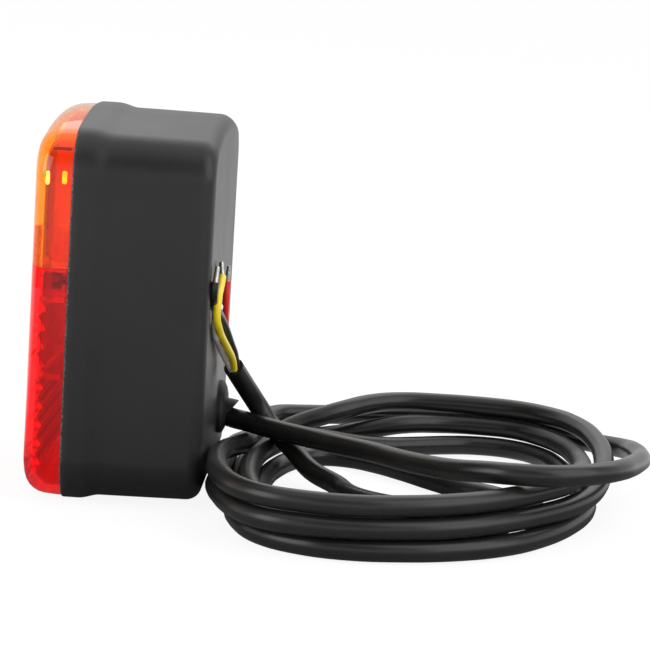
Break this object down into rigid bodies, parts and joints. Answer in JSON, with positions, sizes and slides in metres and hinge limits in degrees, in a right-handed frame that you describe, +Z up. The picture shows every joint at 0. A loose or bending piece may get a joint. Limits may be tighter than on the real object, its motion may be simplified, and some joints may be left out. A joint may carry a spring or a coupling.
{
  "type": "trailer tail light",
  "caption": "Upright trailer tail light with amber indicator lens over red stop and tail lens with reflex panel, black housing, bayonet bulbs and a coiled multi-core lead.",
  "frame": {"origin": "centre of the lamp's footprint, at the bottom of the front lip", "axes": "+X from the lens towards the mounting face, +Y across the lamp, +Z up"},
  "size_m": [0.174, 0.1681, 0.108],
  "materials": {
    "housing_plastic": "fine moulded texture",
    "seal_rubber": "matt",
    "amber_plastic": "clear gloss",
    "red_plastic": "clear gloss",
    "zinc_steel": "zinc plated",
    "white_plastic": "satin",
    "black_plastic": "satin",
    "contact_brass": "bright",
    "bulb_glass": "clear",
    "cable_jacket": "satin",
    "core_yellow": "satin",
    "core_red": "satin",
    "core_black": "satin",
    "core_white": "satin"
  },
  "bodies": {
    "lamp": {"housing": "housing_plastic", "gasket": "seal_rubber", "bulb_carrier": "white_plastic", "carrier_screws": "zinc_steel", "socket_indicator": "zinc_steel", "socket_stop": "zinc_steel", "socket_insulators": "black_plastic", "terminals": "contact_brass", "earth_strip": "contact_brass", "cable_clamp": "black_plastic", "clamp_screws": "zinc_steel", "grommet": "seal_rubber", "cable_lead": "cable_jacket", "cable_coil": "cable_jacket", "cable_tail": "cable_jacket", "wire_yellow": "core_yellow", "wire_red": "core_red", "wire_black": "core_black", "wire_white": "core_white", "wire_tips": "zinc_steel", "inner_yellow": "core_yellow", "inner_black": "core_black", "inner_red": "core_red", "inner_white": "core_white"},
    "lens": {"lens_amber": "amber_plastic", "lens_red": "red_plastic", "reflex_reflector": "red_plastic", "lens_screws": "zinc_steel"},
    "indicator_bulb": {"indicator_glass": "bulb_glass", "indicator_cap": "contact_brass", "indicator_contact": "black_plastic", "indicator_filament": "zinc_steel"},
    "indicator_plunger": {"plunger_indicator": "contact_brass"},
    "stop_bulb": {"stop_glass": "bulb_glass", "stop_cap": "contact_brass", "stop_contacts": "black_plastic", "stop_filaments": "zinc_steel"},
    "stop_plungers": {"plungers_stop": "contact_brass"}
  },
  "joints": [
    {"name": "lens_off", "type": "slide", "parent": "lamp", "child": "lens", "axis": [-1, 0, 0], "range_m": [0, 0.06]},
    {"name": "indicator_bulb_push", "type": "slide", "parent": "lamp", "child": "indicator_bulb", "axis": [0, 1, 0], "range_m": [0, 0.0018], "stiffness_N_per_m": 2000, "springref_m": -0.003},
    {"name": "indicator_plunger_travel", "type": "slide", "parent": "lamp", "child": "indicator_plunger", "axis": [0, 1, 0], "range_m": [0, 0.0018]},
    {"name": "stop_bulb_push", "type": "slide", "parent": "lamp", "child": "stop_bulb", "axis": [0, 1, 0], "range_m": [0, 0.0018], "stiffness_N_per_m": 2000, "springref_m": -0.003},
    {"name": "stop_plungers_travel", "type": "slide", "parent": "lamp", "child": "stop_plungers", "axis": [0, 1, 0], "range_m": [0, 0.0018]}
  ],
  "couplings": [
    {"joint": "indicator_plunger_travel", "follows": "indicator_bulb_push", "ratio": 1},
    {"joint": "stop_plungers_travel", "follows": "stop_bulb_push", "ratio": 1}
  ]
}
